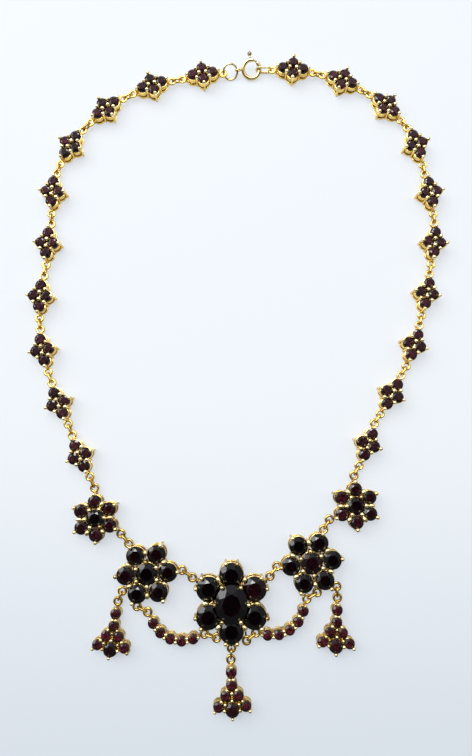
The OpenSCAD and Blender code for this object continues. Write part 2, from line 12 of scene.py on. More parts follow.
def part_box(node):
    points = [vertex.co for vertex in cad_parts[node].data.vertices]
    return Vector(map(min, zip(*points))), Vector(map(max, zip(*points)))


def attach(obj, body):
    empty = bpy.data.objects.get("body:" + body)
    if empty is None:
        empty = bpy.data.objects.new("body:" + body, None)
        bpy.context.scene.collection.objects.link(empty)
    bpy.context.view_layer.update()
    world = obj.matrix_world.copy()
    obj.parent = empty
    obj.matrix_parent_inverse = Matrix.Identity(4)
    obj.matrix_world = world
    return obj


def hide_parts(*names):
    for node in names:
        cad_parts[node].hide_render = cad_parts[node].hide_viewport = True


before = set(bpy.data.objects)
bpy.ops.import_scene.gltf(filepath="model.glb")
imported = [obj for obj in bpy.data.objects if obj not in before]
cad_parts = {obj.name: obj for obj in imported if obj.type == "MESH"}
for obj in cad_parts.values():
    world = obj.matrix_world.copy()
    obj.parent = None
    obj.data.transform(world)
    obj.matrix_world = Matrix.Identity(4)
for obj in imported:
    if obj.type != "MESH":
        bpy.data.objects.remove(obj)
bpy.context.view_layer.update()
MM = 0.001

# Widths of the stones
CHAIN_STONE = 3.0
SMALL_PETAL = 3.4
SMALL_MIDDLE = 4.5
MEDIUM_PETAL = 4.6
MEDIUM_MIDDLE = 5.4
LARGE_PETAL = 6.0
OVAL_W = 8.0
OVAL_L = 9.3
TRIM_STONE = 2.5
DROP_STONE = 3.4

# Spacing of the stones
CHAIN_PITCH = 3.3
SMALL_CIRCLE = 4.1
MEDIUM_CIRCLE = 5.25
LARGE_CIRCLE = 6.6
SWAG_PITCH = 2.85
SWAG_TURN = 20
SWAG_END_TURN = 38

# Height of the stones' girdles over the surface
CHAIN_GIRDLE = 2.9
MEDIUM_GIRDLE = 3.0
LARGE_GIRDLE = 3.2
OVAL_GIRDLE = 4.4
TRIM_GIRDLE = 2.4

# Cut of the stones: depths in parts of the width, and reaches in parts of the half width
PAVILION = 0.43
CROWN = 0.12
TABLE = 0.57
STAR_REACH = 0.78
BREAK_REACH = 0.25
FACETS = 8
BELT_POINTS = 4 * FACETS

# Half the height of the belt round a stone
BELT = 0.06

# Tint of a stone's body by its half width, from 0, near black, to 1, wine red, and the share of it that
# a facet keeps, as painted glints and reflections. Wide stones are deeper, so less light comes back from
# them.
NARROW = 1.25
WIDE = 2.2
NARROW_TONES = (0.75, 1.0)
WIDE_TONES = (0.0, 0.4)
TABLE_GLINT_SHARE = (0.4, 1.0)
CROWN_GLINT_SHARE = (0.25, 0.85)

# Rails, rings and links
LIP = 0.13
AIR = 0.06
SEAT_DROP = 0.4
FOOT_RAIL_H = 0.6
FOOT_MARGIN = 0.5
SEAT_RAIL_H = 1.25
ROSETTE_RAIL_H = 0.6
SEAT_MARGIN = 0.335
WEB_R = 0.42
WEB_REACH = 0.8
PAD_LIP = 0.2
PAD_INSET = 0.03
PAD_ROUND = 0.07
RAIL_ROUND = 0.09
LEAN_IN = 0.2
TIP_REACH = 0.12
RING_R = 0.90
RING_WIRE = 0.34
RING_Z = 1.3
BAR_R = 0.28
LUG_R = 0.38
LUG_REACH = 0.3
LINK_WIRE = 0.30
LINK_PULL = 0.25
LINK_HALF_H = 0.675
GAP = {"left": 3.1, "right": 2.9}

# Claws, as the radius of the post, the radius of the head and the rise of the head over the girdle
Kind = namedtuple("Kind", "post head rise")
CHAIN_CLAW = Kind(0.33, 0.42, 0.42)
CHAIN_TIP = Kind(0.30, 0.39, 0.50)
ROSETTE_CLAW = Kind(0.36, 0.48, 0.45)
ROSETTE_TIP = Kind(0.32, 0.42, 0.55)
INNER_CLAW = Kind(0.35, 0.46, 0.55)
OVAL_CLAW = Kind(0.30, 0.42, 0.50)
TRIM_CLAW = Kind(0.25, 0.36, 0.38)
TRIM_TIP = Kind(0.25, 0.33, 0.42)
GRAIN = Kind(0.33, 0.43, 0.38)
TRIM_GRAIN = Kind(0.28, 0.35, 0.38)
HEAD_SPREAD = (1.24, 1.40)
NOTCH_STRETCH = 1.35
LARGE_NOTCH_STRETCH = 1.4

# A claw's post: its radius from the foot up, in shares, and the heights between which it is straight
POST_TAPER = (0.9, 1.0, 0.98, 0.96, 0.94, 0.92)
FOOT_CHAMFER = 0.08
POST_FOOT_Z = 0.5
POST_TOP_DROP = 0.6

# Where a post bends in, just over the girdle, and where it meets the head, in shares of the way to the
# head and of the head's rise
BEND_IN, BEND_Z = 0.1, 0.02
OVER_IN, OVER_RISE = 0.55, 0.45
CLAW_SIDES = 12

# Turns up the round head of a claw, and how flat its top is pushed
HEAD_TURNS = (-38, -18, 2, 22, 42, 60, 76)
HEAD_FLAT = 0.92

# Bar between a setting and its soldered ring, as shares of the way and of the bar's radius
SOLDERED_BAR = [(-0.1, 1.2), (0.15, 1.15), (0.4, 0.9), (0.65, 0.85), (0.88, 1.0), (1.06, 1.15)]

Stone = namedtuple("Stone", "at r")
Claw = namedtuple("Claw", "foot head kind stretch", defaults=(1.0,))
Ring = namedtuple("Ring", "at root")


# Plan geometry

def way(degrees):
    """A step of one towards a heading."""
    return cmath.rect(1, math.radians(degrees))


def unit(v):
    return v / abs(v)


def nook(a, b, side, clear):
    """The place that clears two stones alike, left (1) or right (-1) of the way from a to b."""
    apart = abs(b.at - a.at)
    reach_a = a.r + clear
    reach_b = b.r + clear
    along = (apart ** 2 + reach_a ** 2 - reach_b ** 2) / (2 * apart)
    return a.at + unit(b.at - a.at) * complex(along, side * math.sqrt(reach_a ** 2 - along ** 2))


def nook_claw(a, b, side, kind, stretch=1.0):
    foot = nook(a, b, side, kind.post + AIR)
    middle = (a.at + b.at) / 2
    return Claw(foot, foot - LEAN_IN * unit(foot - middle), kind, stretch)


def tip_claw(stone, turn, kind):
    foot = stone.at + (stone.r + kind.post + AIR) * way(turn)
    return Claw(foot, stone.at + (stone.r + TIP_REACH) * way(turn), kind)


def upright_claw(at, kind):
    return Claw(at, at, kind)


def leaning_claw(at, kind):
    return Claw(at, at - LEAN_IN * unit(at), kind)


def petals(circle, width, turn):
    return [Stone(circle * way(turn + 60 * k), width / 2) for k in range(6)]


def notch_claws(stones, stretch=1.0):
    return [nook_claw(stones[k], stones[(k + 1) % 6], -1, ROSETTE_CLAW, stretch) for k in range(6)]


# Layout. Headings are in degrees, and each side's front row has the ring of the centre rosette, the
# link, the medium rosette's near and far rings, the link, the small rosette's near and far rings.
FRONT = {
    "left": [150, 145, 4, 125, 130, -32, 96],
    "right": [32, 53, 187, 67, 58, 208, 90],
}
CHAIN = {  # link and cluster, from the small rosette to the clasp
    "left": [(115, 115), (113, 114), (111, 103), (97, 87), (82, 86),
             (92, 86), (72, 60), (51, 39), (29, 20), (11, 9)],
    "right": [(61, 68), (57, 60), (59, 70), (75, 77), (76, 83),
              (92, 99), (97, 109), (126, 137), (149, 157), (165, 176)],
}
SIDES = ("left", "right")
TURN = {"centre": 30, "medium_left": 4, "medium_right": 8, "small_left": 34, "small_right": 31}
REACH = {"cluster": 5.9, "small": 7.5, "medium": 8.7, "centre": 11.4, "trim": 2.8, "swag": 2.9}
CENTRE_DROP = 11.0 * way(270)
CENTRE_SWAG = {"left": 9.4 * way(247), "right": 10.0 * way(292)}
MEDIUM_DROP = {"left": 7.6 * way(215), "right": 8.7 * way(-43)}
MEDIUM_SWAG = {"left": 8.4 * way(253), "right": 7.45 * way(-79)}
SWAG_FROM_CENTRE = {"left": complex(-15.05, -8.6), "right": complex(14.4, -6.6)}
SWAG_HEADING = {"left": -20, "right": 32}
DROP_HEADINGS = {"left": (247, 263), "centre": (267, 272), "right": (272, 266)}
DROP_GAP = 2.65


def plan_middle(node):
    """Middle of a CAD node's box in plan, in millimetres."""
    low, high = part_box(node)
    return complex(low.x + high.x, low.y + high.y) / 2 / MM


centre_at = plan_middle("garnet_oval")
Place = namedtuple("Place", "at near far")


def front_place(before, link, near_heading, far_heading, reach):
    """A rosette that is linked to the ring at before, with its near and far rings."""
    near = before + link
    at = near - reach * way(near_heading)
    return Place(at, near, at + reach * way(far_heading))


medium, small, clusters, links = {}, {}, {}, []
for side in SIDES:
    out, link_1, near_1, far_1, link_2, near_2, far_2 = FRONT[side]
    gap = GAP[side]
    first = centre_at + REACH["centre"] * way(out)
    medium[side] = front_place(first, gap * way(link_1), near_1, far_1, REACH["medium"])
    small[side] = front_place(
        medium[side].far, gap * way(link_2), near_2, far_2, REACH["small"])
    links += [(side, first, medium[side].near), (side, medium[side].far, small[side].near)]
    clusters[side] = []
    far = small[side].far
    for link_heading, cluster_heading in CHAIN[side]:
        near = far + gap * way(link_heading)
        at = near + REACH["cluster"] * way(cluster_heading)
        links.append((side, far, near))
        far = at + REACH["cluster"] * way(cluster_heading)
        clusters[side].append(Place(at, near, far))

clasp_start = clusters["left"][-1].far
clasp_end = clusters["right"][-1].far


# Shapes: closed forms gathered into one mesh for each piece

class Shape:
    """Points and faces of a piece, made where the setting lies, at at and turned by turn degrees."""

    def __init__(self, at=0j, turn=0.0):
        self.at = at
        self.step = way(turn)
        self.points = []
        self.faces = []
        self.tints = []

    def point(self, p):
        plan = self.at + complex(p[0], p[1]) * self.step
        self.points.append((plan.real * MM, plan.imag * MM, p[2] * MM))
        return len(self.points) - 1

    def face(self, corners, tint=0.0):
        self.faces.append(corners)
        self.tints.append(tint)

    def rings(self, rings, joined=False, caps=True):
        """Skin over rings of points with equal counts. joined closes the last ring to the first."""
        made = [[self.point(p) for p in ring] for ring in rings]
        count = len(made[0])
        pairs = list(zip(made, made[1:]))
        if joined:
            pairs.append((made[-1], made[0]))
        for low, high in pairs:
            for k in range(count):
                j = (k + 1) % count
                self.face((low[k], low[j], high[j], high[k]))
        if caps and not joined:
            self.face(tuple(reversed(made[0])))
            self.face(tuple(made[-1]))

    def tube(self, spine, radii, sides=12, joined=False, scale=None):
        """Round tube along a spine of vectors, with a radius at each point."""
        count = len(spine)
        steps = []
        for i in range(count):
            before = spine[i - 1] if i or joined else spine[i]
            after = spine[(i + 1) % count] if i < count - 1 or joined else spine[i]
            steps.append((after - before).normalized())
        side = steps[0].orthogonal().normalized()
        rings = []
        for p, step, r in zip(spine, steps, radii):
            side = (side - side.dot(step) * step).normalized()
            up = step.cross(side)
            rings.append([
                p + r * (math.cos(a) * side + math.sin(a) * up)
                for a in (2 * math.pi * k / sides for k in range(sides))
            ])
        if joined:
            self.join_turned(rings, sides)
        else:
            self.rings(rings)

    def join_turned(self, rings, sides):
        """Closes a tube whose last ring may be turned against its first."""
        start = rings[0][0]
        shift = min(range(sides), key=lambda k: (rings[-1][k] - start).length)
        made = [[self.point(p) for p in ring] for ring in rings]
        for i, low in enumerate(made):
            last = i == len(made) - 1
            high = made[0] if last else made[i + 1]
            for k in range(sides):
                j = (k + 1) % sides
                a, b = ((k - shift) % sides, (j - shift) % sides) if last else (k, j)
                self.face((low[k], low[j], high[b], high[a]))

    def turned(self, at, section, segments=32):
        """Section of (radius, height) pairs turned round the upright through at."""
        rings = []
        for k in range(segments):
            step = way(360 * k / segments)
            rings.append([
                Vector((at.real + r * step.real, at.imag + r * step.imag, z)) for r, z in reversed(section)
            ])
        self.rings(rings, joined=True)


def spot(plan, z):
    return Vector((plan.real, plan.imag, z))


def band_section(inner, outer, low, high, round_by):
    """Closed section of a flat band with rounded corners."""
    section = []
    corners = [(outer, low, -90), (outer, high, 0), (inner, high, 90), (inner, low, 180)]
    for r, z, start in corners:
        r_in = r - round_by if r == outer else r + round_by
        z_in = z + round_by if z == low else z - round_by
        for turn in (0, 45, 90):
            a = math.radians(start + turn)
            section.append((r_in + round_by * math.cos(a), z_in + round_by * math.sin(a)))
    return section


def disc(shape, at, r, low, high, round_by=PAD_ROUND):
    """Upright round pad with rounded edges."""
    heights = [(low, r - round_by), (low + round_by, r), (high - round_by, r), (high, r - round_by)]
    shape.rings([[spot(at + w * way(30 * k), z) for k in range(12)] for z, w in heights])


def rail(shape, stones, claws, low, high, margin):
    """Scalloped rail under the stones: a band round each, webs between near ones, pads at grains."""
    for stone in stones:
        section = band_section(stone.r - margin, stone.r + LIP, low, high, RAIL_ROUND)
        shape.turned(stone.at, section)
    for i, a in enumerate(stones):
        for b in stones[i + 1:]:
            gap = abs(b.at - a.at) - a.r - b.r
            if gap < WEB_REACH:
                at = a.at + (a.r + gap / 2) * unit(b.at - a.at)
                disc(shape, at, WEB_R, low + PAD_INSET, high - PAD_INSET)
    for c in claws:
        if c.foot == c.head:
            disc(shape, c.foot, c.kind.post + PAD_LIP, low + PAD_INSET, high - PAD_INSET)


def claw(shape, c, girdle, chance):
    """Post from the surface, bent in over the stone, with a pushed round head."""
    post = c.kind.post
    head_r = c.kind.head * chance.uniform(*HEAD_SPREAD)
    foot = spot(c.foot, 0)
    top = spot(c.head, girdle + c.kind.rise)
    bend = spot(c.foot + BEND_IN * (c.head - c.foot), girdle + BEND_Z)
    over = spot(c.foot + OVER_IN * (c.head - c.foot), girdle + OVER_RISE * c.kind.rise)
    lean = (top - over).normalized()
    spine = [
        foot, spot(c.foot, FOOT_CHAMFER), spot(c.foot, POST_FOOT_Z),
        spot(c.foot, girdle - POST_TOP_DROP), bend, over,
    ]
    radii = [post * share for share in POST_TAPER]
    for turn in HEAD_TURNS:
        a = math.radians(turn)
        flat = HEAD_FLAT if turn > 0 else 1.0
        spine.append(top + lean * head_r * math.sin(a) * flat)
        radii.append(head_r * math.cos(a))
    shape.tube(spine, radii, CLAW_SIDES)
    if c.stretch != 1.0:
        inward = unit(c.head - c.foot) * shape.step
        middle = shape.at + c.head * shape.step
        for i in range(len(shape.points) - CLAW_SIDES * len(HEAD_TURNS), len(shape.points)):
            x, y, z = shape.points[i]
            off = complex(x / MM, y / MM) - middle
            along = (off * inward.conjugate()).real
            moved = middle + off + (c.stretch - 1) * along * inward
            shape.points[i] = (moved.real * MM, moved.imag * MM, z)


def torus(shape, at, z, r, wire, segments=32, sides=10):
    spine = [spot(at + r * way(360 * k / segments), z) for k in range(segments)]
    shape.tube(spine, [wire] * segments, sides, joined=True)


def soldered_ring(shape, ring):
    """Flat ring and the short bar that holds it, with solder drawn up at both ends."""
    torus(shape, ring.at, RING_Z, RING_R, RING_WIRE)
    near = ring.at + RING_R * unit(ring.root - ring.at)
    length = near - ring.root
    spine = [spot(ring.root + t * length, RING_Z) for t, _ in SOLDERED_BAR]
    shape.tube(spine, [BAR_R * share for _, share in SOLDERED_BAR], 10)


def metal_setting(name, at, turn, girdle, stones, claws, rings, rail_h=SEAT_RAIL_H):
    """Shape of one setting's metal. at is its place in plan, and rings are in its own frame."""
    shape = Shape(at, turn)
    chance = random.Random(name)
    seat_top = girdle - SEAT_DROP
    rail(shape, stones, claws, 0.0, FOOT_RAIL_H, FOOT_MARGIN)
    rail(shape, stones, claws, seat_top - rail_h, seat_top, SEAT_MARGIN)
    for c in claws:
        claw(shape, c, girdle, chance)
    for ring in rings:
        soldered_ring(shape, ring)
    return shape


# Stones

def cut_stone(shape, at, half_w, half_l, girdle, chance):
    """Brilliant cut stone. The table is parted where the facets below show through it, and each part and
    facet gets its own tint: painted glints and reflections.
    """
    eighth = 360 / FACETS
    turn = chance.uniform(0, eighth) if half_w == half_l else 0
    depth = 2 * PAVILION * half_w
    rise = 2 * CROWN * half_w
    deep = min(1, (half_w - NARROW) / (WIDE - NARROW))
    tone = chance.uniform(*(a + deep * (b - a) for a, b in zip(NARROW_TONES, WIDE_TONES)))

    def at_share(share, degrees, z):
        step = way(degrees + turn)
        x = at.real + share * half_w * step.real
        y = at.imag + share * half_l * step.imag
        return shape.point((x, y, girdle + z))

    def ring_at(share, z, half_steps=0):
        return [at_share(share, eighth * (k + half_steps / 2), z) for k in range(FACETS)]

    # Share of the body tone that a facet keeps: a painted glint or reflection.
    def tint(share=TABLE_GLINT_SHARE):
        return tone * chance.uniform(*share)

    slope = math.cos(math.radians(eighth / 2))
    star_z = BELT + rise * (1 - STAR_REACH * slope) / (1 - TABLE)
    break_z = -BELT - depth * (1 - BREAK_REACH * slope)
    middle = at_share(0, 0, BELT + rise)
    inner = ring_at(TABLE / 2, BELT + rise, 1)
    table = ring_at(TABLE, BELT + rise)
    star = ring_at(STAR_REACH, star_z, 1)
    upper = [at_share(1, eighth * k / 4, BELT) for k in range(BELT_POINTS)]
    lower = [at_share(1, eighth * k / 4, -BELT) for k in range(BELT_POINTS)]
    breaks = ring_at(BREAK_REACH, break_z, 1)
    culet = at_share(0, 0, -BELT - depth)
    for k in range(FACETS):
        j = (k + 1) % FACETS
        h = (k - 1) % FACETS
        g = [(4 * k + i) % BELT_POINTS for i in range(5)]
        shape.face((middle, inner[h], table[k], inner[k]), tint())
        shape.face((inner[k], table[k], table[j]), tint())
        shape.face((table[k], star[k], table[j]), tint(CROWN_GLINT_SHARE))
        shape.face((table[k], star[h], upper[g[0]], star[k]), tint(CROWN_GLINT_SHARE))
        shape.face((star[k], upper[g[0]], upper[g[1]], upper[g[2]]), tint(CROWN_GLINT_SHARE))
        shape.face((star[k], upper[g[2]], upper[g[3]], upper[g[4]]), tint(CROWN_GLINT_SHARE))
        shape.face((breaks[k], lower[g[2]], lower[g[1]], lower[g[0]]), tint())
        shape.face((breaks[k], lower[g[4]], lower[g[3]], lower[g[2]]), tint())
        shape.face((culet, breaks[k], lower[g[0]], breaks[h]), tint())
    for k in range(BELT_POINTS):
        j = (k + 1) % BELT_POINTS
        shape.face((lower[k], lower[j], upper[j], upper[k]), tone / 2)


def stones_of(name, placed):
    """Shape of several settings' stones. placed has (at, turn, girdle, stones) rows."""
    shape = Shape()
    chance = random.Random(name)
    for at, turn, girdle, stones in placed:
        for stone in stones:
            cut_stone(shape, at + stone.at * way(turn), stone.r, stone.r, girdle, chance)
    return shape


# Materials

# Heights over the surface, in metres, between which the gold turns from deep to pale, painted shade low in
# the settings and a painted highlight on the claw heads, and the roughness of rubbed claw heads
SHADE_TO_HIGHLIGHT_LOW = 0.0023
SHADE_TO_HIGHLIGHT_HIGH = 0.0031
RUBBED = 0.28


def group(name, ins, outs):
    """New shader node group with named sockets, given as (kind, name, value)."""
    tree = bpy.data.node_groups.new(name, "ShaderNodeTree")
    for direction, rows in (("INPUT", ins), ("OUTPUT", outs)):
        for kind, label, value in rows:
            socket = tree.interface.new_socket(label, in_out=direction, socket_type="NodeSocket" + kind)
            if value is not None:
                socket.default_value = value
    return tree, tree.nodes.new("NodeGroupInput"), tree.nodes.new("NodeGroupOutput")


def add(tree, kind, values=None, **settings):
    """New node, with settings and input values. A value that is a socket is linked."""
    made = tree.nodes.new("ShaderNode" + kind)
    for key, value in settings.items():
        setattr(made, key, value)
    for key, value in (values or {}).items():
        if isinstance(value, bpy.types.NodeSocket):
            tree.links.new(value, made.inputs[key])
        else:
            made.inputs[key].default_value = value
    return made


def mixed(tree, share, a, b):
    """Colour that goes from a to b by share."""
    made = add(tree, "Mix", data_type="RGBA")
    for index, value in ((0, share), (6, a), (7, b)):
        if isinstance(value, bpy.types.NodeSocket):
            tree.links.new(value, made.inputs[index])
        else:
            made.inputs[index].default_value = value
    return made.outputs[2]


def shaded_gilding_group():
    """Gold that is deep and warm low in the setting, as painted shade, and pale on the rubbed claw heads,
    as a painted highlight.
    """
    tree, given, out = group(
        "shaded_gilding",
        [("Color", "Deep", None), ("Color", "Pale", None),
         ("Float", "Low", SHADE_TO_HIGHLIGHT_LOW), ("Float", "High", SHADE_TO_HIGHLIGHT_HIGH)],
        [("Color", "Color", None), ("Float", "Height share", None)],
    )
    place = add(tree, "TexCoord")
    parts = add(tree, "SeparateXYZ", {0: place.outputs["Object"]})
    share = add(tree, "MapRange", {
        "Value": parts.outputs["Z"], "From Min": given.outputs["Low"], "From Max": given.outputs["High"]})
    colour = mixed(tree, share.outputs["Result"], given.outputs["Deep"], given.outputs["Pale"])
    tree.links.new(colour, out.inputs["Color"])
    tree.links.new(share.outputs["Result"], out.inputs["Height share"])
    return tree


def tarnish_group():
    """Cloudy patches where the metal has darkened, in 0 to 1."""
    tree, given, out = group(
        "tarnish",
        [("Float", "Patches per metre", 700.0), ("Float", "Spread", 0.5), ("Float", "Softness", 0.15)],
        [("Float", "Mask", None)],
    )
    place = add(tree, "TexCoord")
    noise = add(tree, "TexNoise", {
        "Vector": place.outputs["Object"], "Scale": given.outputs["Patches per metre"], "Detail": 4.0})
    edge = {0: given.outputs["Spread"], 1: given.outputs["Softness"]}
    low = add(tree, "Math", edge, operation="SUBTRACT")
    high = add(tree, "Math", edge, operation="ADD")
    mask = add(tree, "MapRange", {
        "Value": noise.outputs["Fac"], "From Min": low.outputs[0], "From Max": high.outputs[0]})
    tree.links.new(mask.outputs["Result"], out.inputs["Mask"])
    return tree


def rubbing_group():
    """Fine uneven surface of cast and handled metal, as a height in metres."""
    tree, given, out = group(
        "rubbing",
        [("Float", "Waves per metre", 900.0), ("Float", "Depth", 0.00001)],
        [("Float", "Height", None)],
    )
    place = add(tree, "TexCoord")
    noise = add(tree, "TexNoise", {
        "Vector": place.outputs["Object"], "Scale": given.outputs["Waves per metre"], "Detail": 3.0})
    height = add(tree, "Math", {0: noise.outputs["Fac"], 1: given.outputs["Depth"]}, operation="MULTIPLY")
    tree.links.new(height.outputs[0], out.inputs["Height"])
    return tree


SHADED_GILDING = shaded_gilding_group()
TARNISH = tarnish_group()
RUBBING = rubbing_group()


def use(tree, shared, values):
    """Places a shared group in a material with its own values."""
    made = tree.nodes.new("ShaderNodeGroup")
    made.node_tree = shared
    for key, value in values.items():
        made.inputs[key].default_value = value
    return made


def material(name):
    made = bpy.data.materials.new(name)
    made.use_nodes = True
    return made, made.node_tree, made.node_tree.nodes["Principled BSDF"]


# Body colour of a garnet by its tint, from near black to wine red, where the tint holds painted glints and
# reflections
GARNET_STOPS = [
    (0.1, (0.002, 0.0006, 0.001, 1)),
    (0.45, (0.024, 0.0035, 0.006, 1)),
    (0.75, (0.088, 0.013, 0.023, 1)),
    (1.0, (0.19, 0.018, 0.036, 1)),
]


def gold(name, deep, pale, dark, spread, rough):
    """Gilt metal with darkened patches. rough is the roughness of bright and of darkened metal."""
    made, tree, skin = material(name)
    # Deep low and pale high: painted shade in the settings and a painted highlight on the claw heads.
    shaded_gilding = use(tree, SHADED_GILDING, {"Deep": deep, "Pale": pale, "Low": SHADE_TO_HIGHLIGHT_LOW, "High": SHADE_TO_HIGHLIGHT_HIGH})
    tarnish = use(tree, TARNISH, {"Patches per metre": 650.0, "Spread": spread, "Softness": 0.12})
    rubbing = use(tree, RUBBING, {"Waves per metre": 1100.0, "Depth": 0.00002})
    colour = mixed(tree, tarnish.outputs["Mask"], shaded_gilding.outputs["Color"], dark)
    tree.links.new(colour, skin.inputs["Base Color"])
    worn = add(tree, "MapRange", {
        "Value": shaded_gilding.outputs["Height share"], "From Min": 0.8, "To Min": rough[0], "To Max": RUBBED})
    roughness = add(tree, "MapRange", {
        "Value": tarnish.outputs["Mask"], "To Min": worn.outputs["Result"], "To Max": rough[1]})
    tree.links.new(roughness.outputs["Result"], skin.inputs["Roughness"])
    bump = add(tree, "Bump", {"Height": rubbing.outputs["Height"], "Strength": 0.6, "Distance": 1.0})
    tree.links.new(bump.outputs["Normal"], skin.inputs["Normal"])
    skin.inputs["Metallic"].default_value = 1.0
    return made


def garnet():
    """Very dark red stone. Each facet has its own tint between near black and wine red: the stone's body
    colour, with painted glints and reflections from facet to facet.
    """
    made, tree, skin = material("garnet")
    tint = add(tree, "Attribute", attribute_name="tint")
    ramp = add(tree, "ValToRGB", {"Fac": tint.outputs["Fac"]})
    stops = ramp.color_ramp.elements
    stops[0].position, stops[0].color = GARNET_STOPS[0]
    stops[1].position, stops[1].color = GARNET_STOPS[-1]
    for position, colour in GARNET_STOPS[1:-1]:
        stops.new(position).color = colour
    tree.links.new(ramp.outputs["Color"], skin.inputs["Base Color"])
    skin.inputs["IOR"].default_value = 1.64
    skin.inputs["Roughness"].default_value = 0.03
    skin.inputs["Transmission Weight"].default_value = 0.2
    return made


GILT = gold(
    "gilt", deep=(0.90, 0.63, 0.17, 1), pale=(1.0, 0.85, 0.45, 1), dark=(0.34, 0.19, 0.04, 1),
    spread=0.63, rough=(0.19, 0.36))
# Darker copy of the gilt for the rosettes, swags, drops and loose links: painted shade, with more and
# darker tarnish patches.
SHADED_TARNISHED_GILT = gold(
    "gilt_with_painted_shade_and_tarnish", deep=(0.68, 0.47, 0.125, 1), pale=(1.0, 0.82, 0.41, 1), dark=(0.22, 0.12, 0.03, 1),
    spread=0.55, rough=(0.2, 0.36))
CLASP = gold(
    "clasp_metal", deep=(0.74, 0.58, 0.25, 1), pale=(0.88, 0.74, 0.42, 1), dark=(0.30, 0.22, 0.10, 1),
    spread=0.60, rough=(0.24, 0.38))
BOLT = gold(
    "bolt_metal", deep=(0.50, 0.40, 0.21, 1), pale=(0.70, 0.58, 0.33, 1), dark=(0.20, 0.16, 0.10, 1),
    spread=0.55, rough=(0.25, 0.40))
GARNET = garnet()


# Pieces

# Most that a piece's box may differ from its node's, in metres
MOVE_ALLOWED = 0.0006


def piece(name, shape, skin, node, sharp=40, flat=False, body="root"):
    """Makes the mesh that stands for a CAD node, and checks that it lies where the node lies."""
    mesh = bpy.data.meshes.new(name)
    mesh.from_pydata(shape.points, [], shape.faces)
    mesh.polygons.foreach_set("use_smooth", [not flat] * len(mesh.polygons))
    if flat:
        mesh.attributes.new("tint", "FLOAT", "FACE").data.foreach_set("value", shape.tints)
    else:
        mesh.set_sharp_from_angle(angle=math.radians(sharp))
    mesh.materials.append(skin)
    obj = bpy.data.objects.new(name, mesh)
    bpy.context.scene.collection.objects.link(obj)
    low = [min(p[i] for p in shape.points) for i in range(3)]
    high = [max(p[i] for p in shape.points) for i in range(3)]
    cad_low, cad_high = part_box(node)
    off = max(abs(a - b) for a, b in zip(low + high, list(cad_low) + list(cad_high)))
    if off > MOVE_ALLOWED:
        raise ValueError(f"{name} lies {off / MM:.2f} mm away from {node}")
    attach(obj, body)
    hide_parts(node)
    return obj


# Chain clusters
half = CHAIN_STONE / 2
cluster_stones = [Stone(CHAIN_PITCH * math.sqrt(3) / 2 * way(a), half) for a in (0, 180)]
cluster_stones += [Stone(CHAIN_PITCH / 2 * way(a), half) for a in (90, 270)]
cluster_claws = [nook_claw(cluster_stones[0], cluster_stones[j], 2 * j - 5, CHAIN_CLAW) for j in (2, 3)]
cluster_claws += [nook_claw(cluster_stones[1], cluster_stones[j], 5 - 2 * j, CHAIN_CLAW) for j in (2, 3)]
cluster_claws += [tip_claw(cluster_stones[i], a, CHAIN_TIP) for i, a in enumerate((0, 180, 90, 270))]
cluster_claws += [upright_claw(CHAIN_PITCH / math.sqrt(3) / 2 * way(a), GRAIN) for a in (0, 180)]
tip_foot = cluster_claws[4].foot
cluster_rings = [Ring(REACH["cluster"] * way(a), tip_foot * way(a)) for a in (0, 180)]

for side in SIDES:
    for i, place in enumerate(clusters[side], 1):
        name = f"cluster_{side}_{i}"
        turn = CHAIN[side][i - 1][1]
        shape = metal_setting(
            name, place.at, turn, CHAIN_GIRDLE, cluster_stones, cluster_claws, cluster_rings)
        piece(name, shape, GILT, f"link_{side}_{i}")
    name = f"stones_chain_{side}"
    rows = [
        (place.at, turn, CHAIN_GIRDLE, cluster_stones)
        for place, (_, turn) in zip(clusters[side], CHAIN[side])
    ]
    piece(name, stones_of(name, rows), GARNET, f"garnets_chain_{side}", flat=True)


# Rosettes with a round middle stone
def petal_foot(circle, width, turn, k):
    """Foot of the claw at the tip of outer stone k."""
    return (circle + width / 2 + ROSETTE_TIP.post + AIR) * way(turn + 60 * k)


def rosette(size, side, place, circle, petal, middle, girdle, ring_rows):
    """Setting and stones of a rosette. ring_rows are (ring's place, outer claw or None, notch or None)."""
    turn = TURN[f"{size}_{side}"]
    outer = petals(circle, petal, turn)
    stones = outer + [Stone(0j, middle / 2)]
    notches = notch_claws(outer, NOTCH_STRETCH)
    claws = notches + [tip_claw(stone, turn + 60 * k, ROSETTE_TIP) for k, stone in enumerate(outer)]
    inner = middle / 2 + INNER_CLAW.post + AIR
    claws += [leaning_claw(inner * way(turn + 30 + 60 * k), INNER_CLAW) for k in range(6)]
    rings = []
    for at, tip, notch in ring_rows:
        root = petal_foot(circle, petal, turn, tip) if notch is None else notches[notch].foot
        rings.append(Ring(at, root))
    name = f"{size}_rosette_{side}"
    shape = metal_setting(name, place.at, 0, girdle, stones, claws, rings, ROSETTE_RAIL_H)
    piece(name, shape, SHADED_TARNISHED_GILT, f"rosette_{size}_{side}")
    name = f"stones_{size}_{side}"
    shape = stones_of(name, [(place.at, 0, girdle, stones)])
    piece(name, shape, GARNET, f"garnets_{size}_{side}", flat=True)


for side in SIDES:
    left = side == "left"
    place = small[side]
    rosette("small", side, place, SMALL_CIRCLE, SMALL_PETAL, SMALL_MIDDLE, CHAIN_GIRDLE, [
        (place.near - place.at, 5 if left else 3, None),
        (place.far - place.at, 1, None),
    ])
    place = medium[side]
    rosette("medium", side, place, MEDIUM_CIRCLE, MEDIUM_PETAL, MEDIUM_MIDDLE, MEDIUM_GIRDLE, [
        (place.near - place.at, 0 if left else 3, None),
        (place.far - place.at, 2 if left else 1, None),
        (MEDIUM_DROP[side], None, 3) if left else (MEDIUM_DROP[side], 5, None),
        (MEDIUM_SWAG[side], 4, None) if left else (MEDIUM_SWAG[side], None, 4),
    ])


